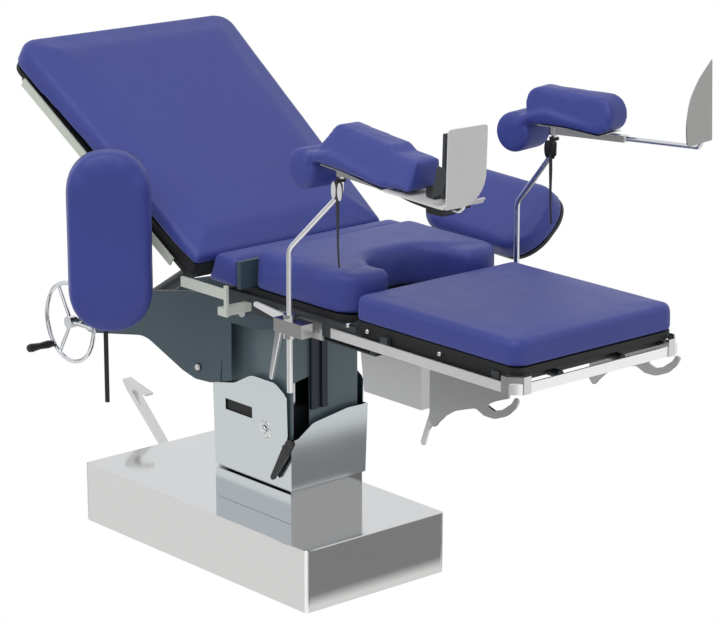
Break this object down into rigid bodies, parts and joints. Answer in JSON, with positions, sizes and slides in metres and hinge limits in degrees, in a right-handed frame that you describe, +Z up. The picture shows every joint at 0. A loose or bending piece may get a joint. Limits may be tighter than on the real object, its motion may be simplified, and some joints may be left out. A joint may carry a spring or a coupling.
{
  "type": "delivery bed",
  "caption": "Obstetric delivery bed: lifting column on a floor base, cushioned table with cut-out seat, raising back, sliding leg section, basin, knee crutches, foot plates and arm rests",
  "frame": {"origin": "on the floor, at the middle of the base's chassis plate", "axes": "+X towards the foot end, +Y towards the far side with the handwheel on -Y, +Z up"},
  "size_m": [1.9353, 1.1022, 1.4269],
  "materials": {
    "vinyl": "satin deep blue vinyl",
    "black_board": "matt black board",
    "grey_paint": "satin dark blue-grey paint",
    "navy_plastic": "dark navy plastic",
    "black_plastic": "black plastic",
    "white_plastic": "white plastic",
    "webbing": "black webbing",
    "pale_plastic": "off-white smooth plate",
    "black_paint": "black paint",
    "chromed": "bright chrome",
    "frame_paint": "grey paint",
    "pale_paint": "pale grey-green paint",
    "stainless": "brushed stainless steel"
  },
  "bodies": {
    "base": {"base_cover": "stainless", "base_chassis": "frame_paint", "levelling_screws": "frame_paint", "column_skirt": "stainless", "lower_cover": "stainless", "slot_guard": "black_board", "outer_column": "frame_paint", "pedal_bracket": "stainless"},
    "pedal": {"foot_pedal": "stainless"},
    "column_lock": {"column_lever": "black_plastic"},
    "column": {"inner_column": "chromed", "upper_cover": "grey_paint", "guide_bar": "navy_plastic", "column_head": "grey_paint", "tilt_shaft": "chromed"},
    "table": {"side_plates": "grey_paint", "plate_spacers": "chromed", "wheel_gearbox": "frame_paint", "seat_frame": "frame_paint", "seat_board": "black_board", "seat_cushion": "vinyl", "rear_cushion": "vinyl", "seat_rails": "stainless", "post_clamps": "stainless", "arm_clamp_far": "stainless"},
    "back": {"back_cushion": "vinyl", "back_board": "black_board", "back_frame": "frame_paint", "back_rails": "pale_paint", "arm_clamp_near": "stainless"},
    "wheel": {"handwheel": "chromed"},
    "grip": {"wheel_grip": "black_plastic"},
    "jack_outer": {"jack_barrel": "frame_paint"},
    "jack_inner": {"jack_screw": "chromed"},
    "leg_section": {"leg_cushion": "vinyl", "leg_board": "black_board", "leg_rail": "stainless", "leg_chassis": "frame_paint", "leg_gussets": "stainless"},
    "leg_release": {"leg_release_lever": "stainless"},
    "basin": {"waste_basin": "stainless"},
    "near_clamp_handle": {"clamp_lever_near": "white_plastic"},
    "near_lock_handle": {"lock_lever_near": "chromed"},
    "far_clamp_handle": {"clamp_lever_far": "black_plastic"},
    "arm_near": {"arm_bracket_near": "black_paint", "arm_pad_near": "vinyl"},
    "arm_far": {"arm_bracket_far": "black_paint", "arm_pad_far": "vinyl"},
    "post_near": {"leg_post_near": "chromed", "strap_near": "webbing"},
    "crutch_near": {"crutch_pan_near": "stainless", "crutch_pad_near": "vinyl"},
    "rod_near": {"foot_rod_near": "chromed"},
    "sole_near": {"foot_plate_near": "pale_plastic"},
    "post_far": {"leg_post_far": "chromed", "strap_far": "webbing"},
    "crutch_far": {"crutch_pan_far": "stainless", "crutch_pad_far": "vinyl"},
    "rod_far": {"foot_rod_far": "chromed"},
    "sole_far": {"foot_plate_far": "stainless"}
  },
  "joints": [
    {"name": "column_lift", "type": "slide", "parent": "base", "child": "column", "axis": [0, 0, 1], "range_m": [-0.14, 0.08]},
    {"name": "table_tilt", "type": "hinge", "parent": "column", "child": "table", "pos_m": [0.125, 0, 0.7], "axis": [0, 1, 0], "range_deg": [-8, 12]},
    {"name": "back_fold", "type": "hinge", "parent": "table", "child": "back", "pos_m": [0.165, 0, 0.79], "axis": [0, 1, 0], "range_deg": [-33, 15]},
    {"name": "wheel_turn", "type": "hinge", "parent": "table", "child": "wheel", "pos_m": [-0.538, -0.22, 0.543], "axis": [0, 1, 0], "range_deg": [-1190, 545]},
    {"name": "grip_spin", "type": "hinge", "parent": "wheel", "child": "grip", "pos_m": [-0.612, -0.22, 0.469], "axis": [0, 1, 0], "continuous": true},
    {"name": "jack_swivel", "type": "hinge", "parent": "table", "child": "jack_outer", "pos_m": [-0.538, 0, 0.543], "axis": [0, -1, 0], "range_deg": [-9.6, 4.6]},
    {"name": "jack_extend", "type": "slide", "parent": "jack_outer", "child": "jack_inner", "axis": [0.8552, 0, 0.5184], "range_m": [-0.068, 0.032]},
    {"name": "leg_slide", "type": "slide", "parent": "table", "child": "leg_section", "axis": [1, 0, 0], "range_m": [0, 0.25]},
    {"name": "leg_release_turn", "type": "hinge", "parent": "leg_section", "child": "leg_release", "pos_m": [0.962, -0.254, 0.65], "axis": [0, 1, 0], "range_deg": [-15, 20], "stiffness_Nm_per_rad": 0.3},
    {"name": "basin_slide", "type": "slide", "parent": "table", "child": "basin", "axis": [1, 0, 0], "range_m": [-0.2, 0.04]},
    {"name": "pedal_press", "type": "hinge", "parent": "base", "child": "pedal", "pos_m": [-0.495, 0.0725, 0.12], "axis": [0, 1, 0], "range_deg": [-22, 0], "stiffness_Nm_per_rad": 12, "springref_deg": 14.32},
    {"name": "column_lock_turn", "type": "hinge", "parent": "base", "child": "column_lock", "pos_m": [0.275, -0.137, 0.368], "axis": [0, 1, 0], "range_deg": [-30, 30]},
    {"name": "near_clamp_turn", "type": "hinge", "parent": "table", "child": "near_clamp_handle", "pos_m": [0.445, -0.27, 0.766], "axis": [0, 1, 0], "range_deg": [-20, 45]},
    {"name": "near_lock_turn", "type": "hinge", "parent": "table", "child": "near_lock_handle", "pos_m": [0.441, -0.29, 0.742], "axis": [0, 1, 0], "range_deg": [-30, 30]},
    {"name": "far_clamp_turn", "type": "hinge", "parent": "table", "child": "far_clamp_handle", "pos_m": [0.471, 0.27, 0.766], "axis": [0, 1, 0], "range_deg": [-20, 45]},
    {"name": "post_lift_near", "type": "slide", "parent": "table", "child": "post_near", "axis": [0, 0, 1], "range_m": [-0.08, 0.08]},
    {"name": "crutch_turn_near", "type": "hinge", "parent": "post_near", "child": "crutch_near", "pos_m": [0.6601, -0.27985, 1.167], "axis": [0.0349, -0.0018, 0.9994], "range_deg": [-40, 15]},
    {"name": "foot_rod_slide_near", "type": "slide", "parent": "crutch_near", "child": "rod_near", "axis": [0.998, -0.0523, -0.0349], "range_m": [0, 0.12]},
    {"name": "sole_turn_near", "type": "hinge", "parent": "rod_near", "child": "sole_near", "pos_m": [1.09923, -0.30287, 1.15164], "axis": [0.0349, -0.0018, 0.9994], "range_deg": [-25, 25]},
    {"name": "post_lift_far", "type": "slide", "parent": "table", "child": "post_far", "axis": [0, 0, 1], "range_m": [-0.08, 0.08]},
    {"name": "crutch_turn_far", "type": "hinge", "parent": "post_far", "child": "crutch_far", "pos_m": [0.7951, 0.27985, 1.21], "axis": [-0.0345, -0.0055, 0.9994], "range_deg": [-15, 40]},
    {"name": "foot_rod_slide_far", "type": "slide", "parent": "crutch_far", "child": "rod_far", "axis": [0.9871, 0.1563, 0.0349], "range_m": [-0.05, 0.1]},
    {"name": "sole_turn_far", "type": "hinge", "parent": "rod_far", "child": "sole_far", "pos_m": [1.20967, 0.34552, 1.22466], "axis": [-0.0345, -0.0055, 0.9994], "range_deg": [-25, 25]},
    {"name": "arm_near_turn", "type": "hinge", "parent": "back", "child": "arm_near", "pos_m": [-0.066, -0.44, 0.9], "axis": [0, 0, 1], "range_deg": [-60, 20]},
    {"name": "arm_far_turn", "type": "hinge", "parent": "table", "child": "arm_far", "pos_m": [0.252, 0.44, 0.8], "axis": [0, 0, 1], "range_deg": [-2, 60]}
  ],
  "couplings": [
    {"joint": "wheel_turn", "follows": "back_fold", "ratio": 36},
    {"joint": "jack_swivel", "follows": "back_fold", "ratio": 0.28},
    {"joint": "jack_extend", "follows": "back_fold", "m_per_rad": 0.1146}
  ]
}
